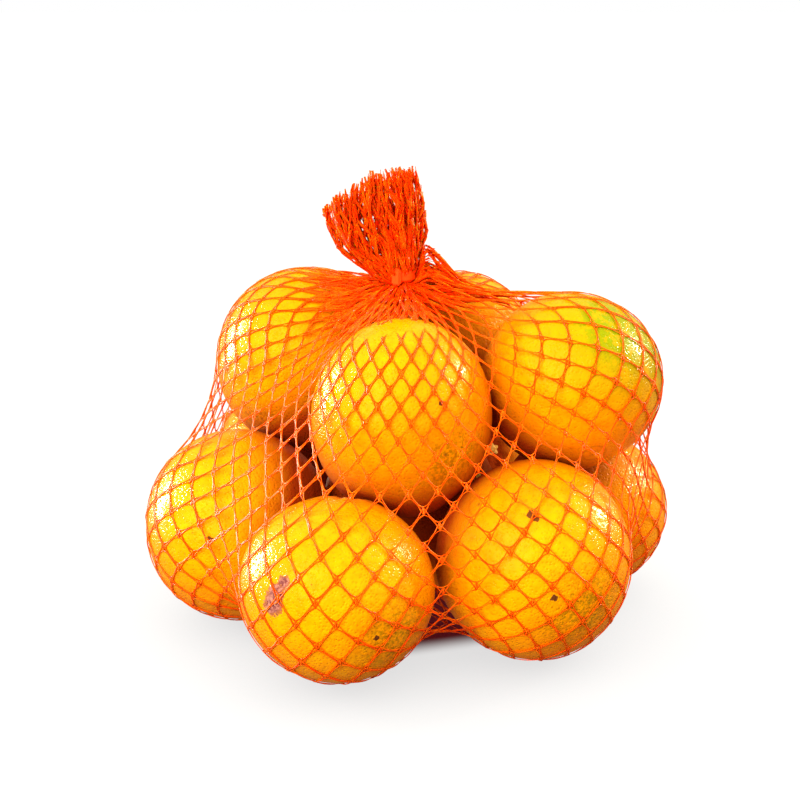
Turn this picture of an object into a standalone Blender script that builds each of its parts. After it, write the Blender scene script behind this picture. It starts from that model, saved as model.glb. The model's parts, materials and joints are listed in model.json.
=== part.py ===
"""A net of oranges: a tube of knitted plastic netting drawn tight round eleven oranges.

The oranges stand in a heap, seven on the ground and four in the hollows above them. The
net is gathered under the heap and again on top, where a small clip holds it, and its cut
end flares out above the clip. All lengths are in metres. +Z is up and -Y is the front.
"""

import math

import bmesh
import bpy
import numpy as np

MM = 0.001

# The heap. Oranges on the ground have a place (x, y) and a radius, measured from the
# middle orange. The others lie in the hollow of three that are already placed.
GROUND_ORANGES = {
    "middle": (0, 0, 39),
    "front_left": (-30, -95, 37),
    "left": (-73.5, -31.5, 39.5),
    "front_right": (48, -70, 39.5),
    "right": (75, 0.5, 36),
    "back_left": (-56.5, 53.5, 38.5),
    "back_right": (24, 76, 36.5),
}
UPPER_ORANGES = {
    "top_front": (("front_left", "front_right", "middle"), 37),
    "top_left": (("left", "middle", "back_left"), 39),
    "top_right": (("front_right", "right", "top_front"), 37),
    "top_back": (("middle", "back_right", "top_left"), 35),
}
TOUCH_GAP = 0.3  # between two oranges that touch
NET_THICKNESS = 1.3

# The net round the heap, as rings of points from the lower gather up to the neck.
AROUND = 60
RINGS = 56
LOWER_GATHER = (-12, 50, 10)
LOWER_GATHER_RADIUS = 4
NECK = (-5, -12, 145)
NECK_RADIUS = 4
NECK_HALF_HEIGHT = 4
DRAWING_STEPS = 500
GRIP = 0.92  # share of the netting's slide that the peel under it holds back
RESTING_DEPTH = 2  # netting this near the ground is pressed flat on it

# The cut end above the clip: for each direction round the neck, in degrees from +X, three
# points of the way a strand takes from the clip to its cut end, measured from the neck.
TAIL_WAYS = {
    0: ((6, 1, 13), (8, 1, 29), (5, 1, 44)),
    45: ((6, 4, 8), (11, 6, 16), (10, 6, 27)),
    90: ((0, 5, 12), (-4, 9, 24), (-7, 8, 38)),
    135: ((-16, 5, 5), (-27, 6, 18), (-24, 5, 33)),
    180: ((-18, -1, 4), (-32, -2, 16), (-31, -2, 29)),
    225: ((-17, -5, 5), (-28, -8, 20), (-26, -6, 35)),
    270: ((-5, -6, 13), (-13, -8, 28), (-13, -6, 43)),
    315: ((4, -4, 14), (5, -5, 30), (2, -4, 45)),
}
TAIL_RINGS = 8
TAIL_GAP = 0.3  # between the neck's top and the flared end, which is a solid of its own
TAIL_FLOOR = (-6, 0, 24)  # the bottom of the hollow in the flared end
PLEATS = 15
PLEAT_DEPTH = 0.05  # share of the distance from the tail's middle

# The clip, a closed band with a latch standing on its front.
CLIP_GAP = 0.3
CLIP_WALL = 1.5
CLIP_HEIGHT = 4.6
CLIP_SIDES = 40
LATCH_DIRECTION = math.radians(250)
LATCH_SIZE = (3.8, 2.4, 6.8)  # along the band, outward, up
LATCH_SINK = 0.8  # how far the latch reaches into the band
EDGE_ROUNDING = 0.6


def cavity_over(balls, radius):
    """The centre of a ball that rests on three others, each (centre, radius)."""
    (a, ra), (b, rb), (c, rc) = balls
    da, db, dc = (r + radius + TOUCH_GAP for r in (ra, rb, rc))
    ex = (b - a) / np.linalg.norm(b - a)
    along = ex @ (c - a)
    ey = c - a - along * ex
    across = np.linalg.norm(ey)
    ey /= across
    ez = np.cross(ex, ey)
    ez *= np.sign(ez[2])
    span = np.linalg.norm(b - a)
    x = (da**2 - db**2 + span**2) / (2 * span)
    y = (da**2 - dc**2 + along**2 + across**2 - 2 * along * x) / (2 * across)
    return a + x * ex + y * ey + math.sqrt(da**2 - x**2 - y**2) * ez


def place_oranges():
    """Each orange's centre and radius, in millimetres from the middle orange."""
    oranges = {
        name: (np.array([x, y, radius + NET_THICKNESS]), radius)
        for name, (x, y, radius) in GROUND_ORANGES.items()
    }
    for name, (under, radius) in UPPER_ORANGES.items():
        oranges[name] = (cavity_over([oranges[n] for n in under], radius), radius)
    return oranges


def directions():
    return np.linspace(0, 2 * math.pi, AROUND, endpoint=False)


def ring(centre, radius):
    turn = directions()
    flat = np.stack([np.cos(turn), np.sin(turn), np.zeros(AROUND)], axis=1)
    return np.array(centre) + radius * flat


def push_outside(points, oranges):
    """Moves what lies inside an orange to its surface, and what is too low to the ground."""
    for centre, radius in oranges.values():
        away = points - centre
        distance = np.linalg.norm(away, axis=-1, keepdims=True)
        surface = centre + away / distance * (radius + NET_THICKNESS)
        points = np.where(distance < radius + NET_THICKNESS, surface, points)
    points[..., 2] = np.maximum(points[..., 2], 0)
    return points


def draw_net(oranges):
    """Rings of points on the net, pulled tight over the oranges from a loose start."""
    spheres = np.array([centre for centre, _ in oranges.values()])
    middle = (spheres.min(axis=0) + spheres.max(axis=0)) / 2
    loose = np.ptp(spheres, axis=0) / 2 + 3 * NET_THICKNESS + 60
    rings = []
    for rise in np.linspace(0, math.pi, RINGS):
        centre = middle - [0, 0, loose[2] * math.cos(rise)]
        wide = ring((0, 0, 0), math.sin(rise)) * loose
        rings.append(centre + wide)
    net = np.array(rings)
    net[0] = ring(LOWER_GATHER, LOWER_GATHER_RADIUS)
    net[-1] = ring((NECK[0], NECK[1], NECK[2] - NECK_HALF_HEIGHT), NECK_RADIUS)
    for _ in range(DRAWING_STEPS):
        beside = np.roll(net, 1, axis=1) + np.roll(net, -1, axis=1)
        pulled = (beside[1:-1] + net[2:] + net[:-2]) / 4
        held = push_outside(pulled.copy(), oranges)
        touching = np.any(held != pulled, axis=-1, keepdims=True)
        slide = np.where(touching, 1 - GRIP, 1)
        net[1:-1] = push_outside(net[1:-1] + (held - net[1:-1]) * slide, oranges)
    low = net[..., 2] < RESTING_DEPTH
    net[..., 2] = np.where(low, 0, net[..., 2])
    return net


def between_ways(turn):
    """The three points of a strand's way in any direction, read between the given ones."""
    given = sorted(TAIL_WAYS)
    step = 2 * math.pi / len(given)
    ways = np.array([TAIL_WAYS[angle] for angle in given], float)
    at = turn / step
    first = int(at) % len(given)
    share = 0.5 - 0.5 * math.cos(math.pi * (at - int(at)))
    return ways[first] * (1 - share) + ways[(first + 1) % len(given)] * share


def draw_tail():
    """Rings of points on the flared end, with pleats that deepen towards the cut."""
    top = ring((0, 0, NECK_HALF_HEIGHT + TAIL_GAP), NECK_RADIUS)
    rings = np.zeros((TAIL_RINGS + 1, AROUND, 3))
    for i, turn in enumerate(directions()):
        corners = np.vstack([top[i], between_ways(turn)])
        for k, share in enumerate(np.linspace(0, 1, TAIL_RINGS + 1)):
            rest = 1 - share
            weights = (rest**3, 3 * rest**2 * share, 3 * rest * share**2, share**3)
            rings[k, i] = np.array(weights) @ corners
            middle = np.array([0, 0, 1]) * rings[k, i, 2]
            wave = 1 + PLEAT_DEPTH * share * math.cos(PLEATS * turn)
            rings[k, i] = middle + (rings[k, i] - middle) * wave
    inner = (rings[-1] + np.array(TAIL_FLOOR)) / 2
    return np.concatenate([rings, inner[None]]) + np.array(NECK)


def closed_tube(rings, start, end):
    """A closed mesh over rings of points, with a single point closing each end."""
    mesh = bmesh.new()
    rows = [[mesh.verts.new(point * MM) for point in row] for row in rings]
    for lower, upper in zip(rows, rows[1:]):
        for i in range(AROUND):
            j = (i + 1) % AROUND
            mesh.faces.new((lower[i], lower[j], upper[j], upper[i]))
    first = mesh.verts.new(np.array(start) * MM)
    last = mesh.verts.new(np.array(end) * MM)
    for i in range(AROUND):
        j = (i + 1) % AROUND
        mesh.faces.new((rows[0][j], rows[0][i], first))
        mesh.faces.new((rows[-1][i], rows[-1][j], last))
    bmesh.ops.recalc_face_normals(mesh, faces=mesh.faces)
    return mesh


def plastic(name, colour, roughness):
    material = bpy.data.materials.new(name)
    material.use_nodes = True
    shader = material.node_tree.nodes["Principled BSDF"]
    shader.inputs["Base Color"].default_value = (*colour, 1)
    shader.inputs["Roughness"].default_value = roughness
    shader.inputs["Metallic"].default_value = 0
    return material


def add_object(name, mesh, material):
    data = bpy.data.meshes.new(name)
    mesh.to_mesh(data)
    mesh.free()
    data.materials.append(material)
    data.shade_smooth()
    data.set_sharp_from_angle(angle=math.radians(50))
    obj = bpy.data.objects.new(name, data)
    bpy.context.scene.collection.objects.link(obj)
    return obj


def add_filled_net(material):
    """The net and its oranges, from the lower gather to the top of the neck."""
    neck_top = np.array(NECK) + (0, 0, NECK_HALF_HEIGHT)
    rings = np.concatenate([draw_net(place_oranges()), ring(neck_top, NECK_RADIUS)[None]])
    lower_end = np.array(LOWER_GATHER) + (0, 0, LOWER_GATHER_RADIUS / 2)
    return add_object("filled_net", closed_tube(rings, lower_end, neck_top), material)


def add_net_tail(material):
    """The cut end of the net, which opens above the clip."""
    foot = np.array(NECK) + (0, 0, NECK_HALF_HEIGHT + TAIL_GAP)
    floor = np.array(NECK) + TAIL_FLOOR
    return add_object("net_tail", closed_tube(draw_tail(), foot, floor), material)


def add_clip(material):
    """A band round the neck, turned from its rounded section, with the latch joined on."""
    inner = NECK_RADIUS + CLIP_GAP
    outer = inner + CLIP_WALL
    half = CLIP_HEIGHT / 2
    rounding = EDGE_ROUNDING
    section = [
        (inner, -half + rounding),
        (inner + rounding, -half),
        (outer - rounding, -half),
        (outer, -half + rounding),
        (outer, half - rounding),
        (outer - rounding, half),
        (inner + rounding, half),
        (inner, half - rounding),
    ]
    mesh = bmesh.new()
    rows = []
    for turn in np.linspace(0, 2 * math.pi, CLIP_SIDES, endpoint=False):
        c, s = math.cos(turn) * MM, math.sin(turn) * MM
        rows.append([mesh.verts.new((r * c, r * s, z * MM)) for r, z in section])
    for row, after in zip(rows, rows[1:] + rows[:1]):
        for i in range(len(section)):
            j = (i + 1) % len(section)
            mesh.faces.new((row[i], after[i], after[j], row[j]))
    bmesh.ops.recalc_face_normals(mesh, faces=mesh.faces)
    clip = add_object("neck_clip", mesh, material)

    latch_mesh = bmesh.new()
    bmesh.ops.create_cube(latch_mesh, size=1)
    bmesh.ops.scale(latch_mesh, vec=[side * MM for side in LATCH_SIZE], verts=latch_mesh.verts)
    bmesh.ops.bevel(
        latch_mesh,
        geom=latch_mesh.edges[:],
        offset=EDGE_ROUNDING * MM,
        segments=2,
        affect="EDGES",
    )
    latch = add_object("latch_guide", latch_mesh, material)
    reach = (outer - LATCH_SINK + LATCH_SIZE[1] / 2) * MM
    latch.location = (
        reach * math.cos(LATCH_DIRECTION),
        reach * math.sin(LATCH_DIRECTION),
        0,
    )
    latch.rotation_euler.z = LATCH_DIRECTION - math.pi / 2
    latch.parent = clip
    latch.hide_render = True
    latch.display_type = "WIRE"

    join = clip.modifiers.new("Latch", "BOOLEAN")
    join.operation = "UNION"
    join.solver = "EXACT"
    join.object = latch
    clip.location = np.array(NECK) * MM
    return clip


def stand_on_origin(objects):
    """Moves everything so that the box round it stands with its bottom's middle on the origin."""
    bpy.context.view_layer.update()
    graph = bpy.context.evaluated_depsgraph_get()
    corners = []
    for obj in objects:
        data = obj.evaluated_get(graph).to_mesh()
        corners += [obj.matrix_world @ vertex.co for vertex in data.vertices]
    points = np.array(corners)
    low, high = points.min(axis=0), points.max(axis=0)
    shift = np.array([(low[0] + high[0]) / 2, (low[1] + high[1]) / 2, low[2]])
    for obj in objects:
        obj.location = np.array(obj.location) - shift


def main():
    for obj in list(bpy.data.objects):
        bpy.data.objects.remove(obj)
    netting = plastic("orange knitted netting over oranges", (1.0, 0.33, 0.01), 0.5)
    moulded = plastic("orange moulded plastic", (1.0, 0.23, 0.02), 0.4)
    stand_on_origin([add_filled_net(netting), add_net_tail(netting), add_clip(moulded)])


main()
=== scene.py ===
# %% [markdown]
# # A net of oranges
# Eleven oranges stand in a heap inside a tube of knitted plastic netting. The net is
# drawn tight, gathered on top by a small clip, and its cut end flares out above it.
# The frame holds plain solids with the true outer form. Here they give way to the real
# things: separate fruits, and a net that is pulled over them strand by strand.

# %% Load the frame
import json
import math

import bmesh
import bpy
import numpy as np
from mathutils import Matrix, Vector
from mathutils.kdtree import KDTree

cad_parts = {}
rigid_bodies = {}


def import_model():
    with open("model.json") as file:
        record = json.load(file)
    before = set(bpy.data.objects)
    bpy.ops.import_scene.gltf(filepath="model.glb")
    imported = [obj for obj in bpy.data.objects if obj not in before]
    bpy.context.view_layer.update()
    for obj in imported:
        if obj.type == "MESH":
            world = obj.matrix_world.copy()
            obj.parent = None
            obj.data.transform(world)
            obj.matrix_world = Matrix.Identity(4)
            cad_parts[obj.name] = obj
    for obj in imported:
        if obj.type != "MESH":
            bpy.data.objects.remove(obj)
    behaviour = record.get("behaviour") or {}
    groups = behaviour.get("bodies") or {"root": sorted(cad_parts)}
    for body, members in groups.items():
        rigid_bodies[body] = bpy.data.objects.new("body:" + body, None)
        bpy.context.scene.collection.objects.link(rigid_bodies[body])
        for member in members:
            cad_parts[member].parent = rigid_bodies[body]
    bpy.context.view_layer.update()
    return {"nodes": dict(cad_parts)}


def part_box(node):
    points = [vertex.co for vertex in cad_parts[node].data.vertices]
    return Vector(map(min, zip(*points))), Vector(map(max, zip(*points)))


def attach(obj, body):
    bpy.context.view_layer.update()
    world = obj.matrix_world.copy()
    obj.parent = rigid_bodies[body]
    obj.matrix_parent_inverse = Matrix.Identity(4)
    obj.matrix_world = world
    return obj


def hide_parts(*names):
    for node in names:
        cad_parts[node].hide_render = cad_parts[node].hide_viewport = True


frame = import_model()
MM = 0.001

# %% [markdown]
# ## The heap
# Seven fruits stand on the ground. The other four lie in hollows, and where a ball comes
# to rest on three others follows from their sizes alone. So only the ground fruits need a
# place, and the rest is worked out, which also keeps every pair of neighbours touching.
# The clip's band goes round the neck of the net, so it tells where this heap stands in
# the frame.

# %% Sizes of the heap, in millimetres from the middle fruit
GROUND_FRUITS = {
    "middle": (0, 0, 39),
    "front_left": (-30, -95, 37),
    "left": (-73.5, -31.5, 39.5),
    "front_right": (48, -70, 39.5),
    "right": (75, 0.5, 36),
    "back_left": (-56.5, 53.5, 38.5),
    "back_right": (24, 76, 36.5),
}
UPPER_FRUITS = {
    "top_front": (("front_left", "front_right", "middle"), 37),
    "top_left": (("left", "middle", "back_left"), 39),
    "top_right": (("front_right", "right", "top_front"), 37),
    "top_back": (("middle", "back_right", "top_left"), 35),
}
TOUCH_GAP = 0.3
NET_THICKNESS = 1.3
NECK = np.array([-5, -12, 145.0])
NECK_HALF_HEIGHT = 4
CLIP_OUTER_RADIUS = 5.8
LOWER_GATHER = np.array([-12, 50, 10.0])

clip_high = np.array(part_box("neck_clip")[1]) / MM
TO_FRAME = np.append(clip_high[:2] - NECK[:2] - CLIP_OUTER_RADIUS, 0)
print("the heap is moved by", np.round(TO_FRAME, 2), "mm to match the frame")


# %% Place a fruit on three others
def rest_on(three, radius):
    """The middle of a ball of this radius that lies on three others, each (middle, radius)."""
    (a, ra), (b, rb), (c, rc) = three
    da, db, dc = (r + radius + TOUCH_GAP for r in (ra, rb, rc))
    span = np.linalg.norm(b - a)
    ex = (b - a) / span
    along = ex @ (c - a)
    ey = c - a - along * ex
    across = np.linalg.norm(ey)
    ey /= across
    ez = np.cross(ex, ey)
    ez *= np.sign(ez[2])
    x = (da**2 - db**2 + span**2) / (2 * span)
    y = (da**2 - dc**2 + along**2 + across**2 - 2 * along * x) / (2 * across)
    return a + x * ex + y * ey + math.sqrt(da**2 - x**2 - y**2) * ez


places = {
    name: (np.array([x, y, radius + NET_THICKNESS]), radius)
    for name, (x, y, radius) in GROUND_FRUITS.items()
}
for name, (under, radius) in UPPER_FRUITS.items():
    places[name] = (rest_on([places[n] for n in under], radius), radius)
print("fruits:", len(places), "highest centre", round(max(c[2] for c, _ in places.values())), "mm")

# %% [markdown]
# ## The form of a fruit
# An orange isn't a ball. It is a little flatter from stem to blossom end, with broad
# shallow lumps that no two share. That form could be sculpted, or made by a noise
# displacement. Here it is one formula for the distance of the peel in any direction,
# because two things need it: the fruit's own mesh, and the net that must lie on it.

# %% Each fruit's stem direction, flatness and lumps
STEMS = {
    "middle": ((0.76, -0.42, 0.5), 0.05),
    "front_left": ((0.1, 0.35, 0.93), 0.06),
    "left": ((-0.75, 0.5, -0.45), 0.04),
    "front_right": ((0.6, 0.35, -0.72), 0.03),
    "right": ((0.55, 0.7, 0.45), 0.05),
    "back_left": ((-0.62, 0.75, 0.2), 0.06),
    "back_right": ((0.41, -0.85, 0.34), 0.05),
    "top_front": ((-0.47, 0.86, 0.17), 0.06),
    "top_left": ((-0.35, 0.85, 0.4), 0.04),
    "top_right": ((-0.2, 0.75, 0.62), 0.03),
    "top_back": ((0.45, 0.85, 0.25), 0.05),
}
TALLNESS = {"top_front": 0.09, "top_left": 0.04}  # how much higher than wide a fruit stands
LUMP_SHARE = 0.007  # of the radius
LUMP_WAVES = 4  # waves that make up the lumps of a fruit
LUMP_PITCH = (2, 4.5)  # radians of a wave for each radius passed over


def unit(vector):
    """The same direction with length 1, for one vector or an array of them."""
    vector = np.asarray(vector, float)
    return vector / np.linalg.norm(vector, axis=-1, keepdims=True)


class Fruit:
    def __init__(self, number, name):
        centre, self.radius = places[name]
        self.name = name
        self.number = number
        self.centre = centre + TO_FRAME
        stem, self.flatness = STEMS[name]
        self.stem = unit(stem)
        self.tallness = TALLNESS.get(name, 0)
        chance = np.random.default_rng(100 + number)
        waves = unit(chance.normal(size=(LUMP_WAVES, 3)))
        self.waves = waves * chance.uniform(*LUMP_PITCH, (LUMP_WAVES, 1))
        self.shifts = chance.uniform(0, 2 * math.pi, LUMP_WAVES)

    def peel(self, directions):
        """The peel's distance from the middle, in millimetres, in these directions."""
        flat = self.flatness * (1 / 3 - (directions @ self.stem) ** 2)
        tall = self.tallness * (directions[..., 2] ** 2 - 1 / 3)
        lumps = np.sin(directions @ self.waves.T + self.shifts).sum(axis=-1)
        return self.radius * (1 + flat + tall + LUMP_SHARE * lumps)


fruits = [Fruit(number, name) for number, name in enumerate(places)]
print("lumps:", [round(float(np.ptp(f.peel(np.eye(3)))), 1) for f in fruits], "mm")


# %% [markdown]
# ## Drawing the net tight
# The netting is knitted as a tube of diamonds. Cloth simulation could drape it, but a
# knitted net has no cloth between its strands: each side of a diamond is a short cord
# that pulls and never pushes. So the net is made of its cords. It starts as a loose bag
# round the heap. Then every point is pulled towards its neighbours, no cord is let grow
# past its length, and what would enter a fruit is laid on the peel, where it grips. After
# some hundred small steps the net hugs the heap and bridges the hollows in straight lines.

# %% Sizes of the net, in millimetres
ROUND_CELLS = 50  # diamonds round the tube
ROWS = 36  # rows of crossings from the lower gather to the neck
SIDE = 10.8  # length of a diamond's side
PARTS = 3  # pieces of cord along each side


def circle(row, radius, lift=0.0):
    """A ring of crossings. Those of every other row stand half a cell on."""
    turn = (np.arange(ROUND_CELLS) + 0.5 * (row % 2)) * 2 * math.pi / ROUND_CELLS
    return np.stack([radius * np.cos(turn), radius * np.sin(turn), 0 * turn + lift], axis=1)


# %% The loose bag
SPARE_BELOW = 0.03  # how much closer the rows start towards the lower gather
LOOSENESS = 60  # how far off the heap the bag starts
NECK_RADIUS = 4.2
GATHER_RADIUS = 4


def loose_crossings():
    """The crossings of the loose bag, row by row from the lower gather to the neck."""
    centres = np.array([f.centre for f in fruits])
    middle = (centres.min(axis=0) + centres.max(axis=0)) / 2
    reach = np.ptp(centres, axis=0) / 2 + LOOSENESS
    rows = []
    for row in range(ROWS + 1):
        rise = math.pi * (row / ROWS - SPARE_BELOW * math.sin(math.pi * row / ROWS))
        rows.append(middle + reach * circle(row, math.sin(rise), -math.cos(rise)))
    rows[0] = LOWER_GATHER + TO_FRAME + circle(0, GATHER_RADIUS)
    rows[-1] = NECK + TO_FRAME + circle(ROWS, NECK_RADIUS, -NECK_HALF_HEIGHT)
    return np.array(rows)


def side_ends(rows):
    """The crossings that each side joins, lower one first: left-leaning, then right-leaning."""
    number = np.arange(rows * ROUND_CELLS).reshape(rows, ROUND_CELLS)
    left, right = [], []
    for row in range(rows - 1):
        above = number[row + 1]
        left.append(np.stack([number[row], np.roll(above, 1) if row % 2 == 0 else above], axis=1))
        right.append(np.stack([number[row], above if row % 2 == 0 else np.roll(above, -1)], axis=1))
    return np.stack([left, right], axis=2)  # row, cell, lean, end


# %% Laying points on the fruits
HIGHEST_PEEL = 1.06  # radii that no peel reaches past


def lay_on_fruits(points, gap):
    """Moves points out of the fruits and the ground, and tells which ones touched."""
    touched = points[:, 2] < gap
    points[touched, 2] = gap
    for fruit in fruits:
        away = points - fruit.centre
        distance = np.sqrt((away**2).sum(axis=1))
        near = np.flatnonzero(distance < fruit.radius * HIGHEST_PEEL + gap)
        out = away[near] / distance[near, None]
        surface = fruit.peel(out) + gap
        inside = distance[near] < surface
        points[near[inside]] = fruit.centre + out[inside] * surface[inside, None]
        touched[near[inside]] = True
    return touched


# %% Pull it tight
CORD_RADIUS = 0.45
STEPS = 520
PULL = 0.6
SWING = 0.9  # share of the last step's movement that carries on
GRIP = 0.97  # share of a step's movement that rubbing on a fruit takes back
PASSES = 3  # times in a step that cords are taken in where they are too long
TAKE_IN = 0.9  # share of the excess length that one pass takes in


def draw_tight():
    """The points of the tight net, and the chain of points along each side of a diamond."""
    crossings = loose_crossings()
    ends = side_ends(ROWS + 1).reshape(-1, 2)
    places_in_side = (np.arange(1, PARTS) / PARTS)[:, None]
    flat = crossings.reshape(-1, 3)
    start, end = flat[ends[:, 0]][:, None], flat[ends[:, 1]][:, None]
    between = (start + (end - start) * places_in_side).reshape(-1, 3)
    points = np.concatenate([flat, between])
    inner = len(flat) + np.arange(len(between)).reshape(-1, PARTS - 1)
    chains = np.concatenate([ends[:, :1], inner, ends[:, 1:]], axis=1)
    a, b = chains[:, :-1].ravel(), chains[:, 1:].ravel()
    neighbours = np.bincount(np.concatenate([a, b]), minlength=len(points))[:, None]
    free = np.ones(len(points), bool)
    free[:ROUND_CELLS] = False
    free[len(flat) - ROUND_CELLS : len(flat)] = False

    def shared(moves):
        """What the cords' moves add up to at each free point, shared out among them."""
        total = [
            np.bincount(a, moves[:, k], len(points)) - np.bincount(b, moves[:, k], len(points))
            for k in range(3)
        ]
        return np.stack(total, axis=1)[free] / neighbours[free]

    speed = np.zeros_like(points)
    for _ in range(STEPS):
        before = points.copy()
        points[free] += SWING * speed[free] + PULL * shared(points[b] - points[a])
        for _ in range(PASSES):
            cord = points[b] - points[a]
            length = np.sqrt((cord**2).sum(axis=1))[:, None]
            excess = np.maximum(length - SIDE / PARTS, 0) / length
            points[free] += TAKE_IN * shared(cord * excess)
        touched = lay_on_fruits(points, CORD_RADIUS) & free
        points[touched] -= GRIP * (points[touched] - before[touched])
        lay_on_fruits(points, CORD_RADIUS)
        points[~free] = before[~free]
        speed = points - before
    return points, chains


net_points, net_chains = draw_tight()
sides = np.linalg.norm(np.diff(net_points[net_chains], axis=1), axis=2).sum(axis=1)
print("sides of the net:", len(sides), "median", round(float(np.median(sides)), 1), "mm")

# %% [markdown]
# ## Helpers for finishes
# Paint programs give colours as sRGB hex values, while shaders work in linear light, so
# one function turns one into the other. A second one adds a shader node of any kind, with
# its settings and links. The last one ends a material: it gives the patterns made so far
# to the surface, and spreads the nodes out so that the tree can be read.


# %% Colour and node helpers
def linear(hex_colour):
    channels = [int(hex_colour[k : k + 2], 16) / 255 for k in (1, 3, 5)]
    return [c / 12.92 if c <= 0.04045 else ((c + 0.055) / 1.055) ** 2.4 for c in channels]


def add_node(tree, kind, inputs=(), out=None, **settings):
    """Adds a shader node, and gives the output that is named, or else its first one.

    Each input is a value, a hex colour or the output of another node. Inputs are given by
    name, or in the order in which the node shows them.
    """
    node = tree.nodes.new("ShaderNode" + kind)
    for name, value in settings.items():
        setattr(node, name, value)
    shown = [socket for socket in node.inputs if socket.enabled]
    given = inputs if isinstance(inputs, dict) else dict(enumerate(inputs))
    for key, value in given.items():
        socket = node.inputs[key] if isinstance(key, str) else shown[key]
        if isinstance(value, bpy.types.NodeSocket):
            tree.links.new(value, socket)
        elif isinstance(value, str):
            socket.default_value = (*linear(value), 1)
        else:
            socket.default_value = value
    return node.outputs[out] if out else next((s for s in node.outputs if s.enabled), None)


def new_material(name):
    material = bpy.data.materials.new(name)
    material.use_nodes = True
    material.node_tree.nodes.clear()
    return material, material.node_tree


def give_surface(material, inputs):
    tree = material.node_tree
    shader = add_node(tree, "BsdfPrincipled", inputs)
    add_node(tree, "OutputMaterial", {"Surface": shader})
    for number, node in enumerate(tree.nodes):
        node.location = (260 * (number // 4), -320 * (number % 4))
    print(material.name, "nodes:", len(tree.nodes))


# %% [markdown]
# ## Waxed orange peel
# Peel is a thin coloured rind full of oil glands. Each gland is a shallow pit about one
# millimetre across, and the fruit is washed and waxed after picking, which leaves a soft
# gloss that the pits break up. An image texture would show it, but it would stretch and
# repeat. Noise in the fruit's own space has no seam: broad noise varies the ripeness, a
# cell pattern makes the pits, and painted point values place green shoulders, sooty
# patches and scars, whose ragged edges come from finer noise.

# %% Helpers for layers of colour
def lay_over(tree, colour, paint, share, strength=1.0):
    """Lays a paint over a colour. The share tells where it covers, the strength how well."""
    cover = add_node(tree, "Math", (share, strength), operation="MULTIPLY")
    return add_node(tree, "Mix", (cover, colour, paint), data_type="RGBA")


def broken_up(tree, field, noise, low, high):
    """A painted field that is bare where the noise is under low, and whole where over high."""
    cover = add_node(tree, "MapRange", (noise, low, high))
    return add_node(tree, "Math", (field, cover), operation="MULTIPLY")


def ragged(tree, field, noise, softness):
    """A painted field cut off where it meets noise, so that its edge is broken up."""
    total = add_node(tree, "Math", (field, noise), operation="ADD")
    return add_node(tree, "MapRange", (total, 1 - softness, 1 + softness))


def ring_round(tree, distance, radius, width, low_side):
    """1 on a circle of this radius, falling to 0 at this width from it, on the low side."""
    off = add_node(tree, "Math", (distance, radius), operation="SUBTRACT")
    off = add_node(tree, "Math", (off,), operation="ABSOLUTE")
    near = add_node(tree, "MapRange", (off, width, 0))
    return add_node(tree, "Math", (near, low_side), operation="MULTIPLY")


# %% Material: waxed orange peel
PIT_SPACING = 1.25 * MM
FRECKLE_SPACING = 3.2 * MM
RIPENESS_SCALE = 0.028 / MM  # one patch to every 36 mm
MOTTLE_SCALE = 0.24 / MM  # one blotch to every 4 mm
SPECK_SCALE = 0.7 / MM  # one speck to every 1.4 mm
NAVEL_RADIUS = 1.3 * MM
NAVEL_RING_RADIUS = 4.8 * MM
NAVEL_RING_WIDTH = 0.9 * MM
LOW_SIDE_DEPTH = 5 * MM

peel, tree = new_material("waxed orange peel")
own_place = add_node(tree, "Attribute", out="Vector", attribute_name="own_place")
painted = {
    name: add_node(tree, "Attribute", out="Fac", attribute_name=name)
    for name in ("fruit_number", "green", "soot", "scar", "dark", "sheltered")
}
own_space = add_node(tree, "VectorMath", (own_place, painted["fruit_number"]), operation="ADD")
ripeness = add_node(tree, "TexNoise", (own_space, RIPENESS_SCALE, 3, 0.55))
mottle = add_node(tree, "TexNoise", (own_space, MOTTLE_SCALE, 4, 0.6))
specks = add_node(tree, "TexNoise", (own_space, SPECK_SCALE, 3, 0.65))
pits = add_node(
    tree, "TexVoronoi", {"Vector": own_space, "Scale": 1 / PIT_SPACING, "Randomness": 0.9}
)
print("peel pits per millimetre:", round(MM / PIT_SPACING, 2))

# The blossom end is the low pole of the fruit's own space: a faint ring with a dry navel.
axes = add_node(tree, "SeparateXYZ", (own_place,)).node.outputs
across = add_node(tree, "CombineXYZ", (axes["X"], axes["Y"]))
from_axis = add_node(tree, "VectorMath", (across,), operation="LENGTH")
low_side = add_node(tree, "MapRange", (axes["Z"], 0, -LOW_SIDE_DEPTH))
ring = ring_round(tree, from_axis, NAVEL_RING_RADIUS, NAVEL_RING_WIDTH, low_side)
navel = ring_round(tree, from_axis, 0, NAVEL_RADIUS, low_side)

# Each pit is painted darker towards its bottom. Freckles sit far apart and vary in size.
pit_floor = add_node(tree, "MapRange", (pits, 0, 0.42, 0.55, 0))
freckle_places = add_node(tree, "TexVoronoi", {"Vector": own_space, "Scale": 1 / FRECKLE_SPACING})
freckle_size = add_node(tree, "MapRange", (mottle, 0.4, 0.75, 0, 0.14))
freckles = add_node(tree, "Math", (freckle_places, freckle_size), operation="LESS_THAN")

# Scars have a pale corky middle and a dark rim.
scar_rim = ragged(tree, painted["scar"], specks, 0.06)
inner_specks = add_node(tree, "MapRange", (specks, 0, 1, -0.2, 0.8))
cork = lay_over(tree, "#6C303C", "#B87A6C", add_node(tree, "MapRange", (specks, 0.42, 0.6)))

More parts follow.
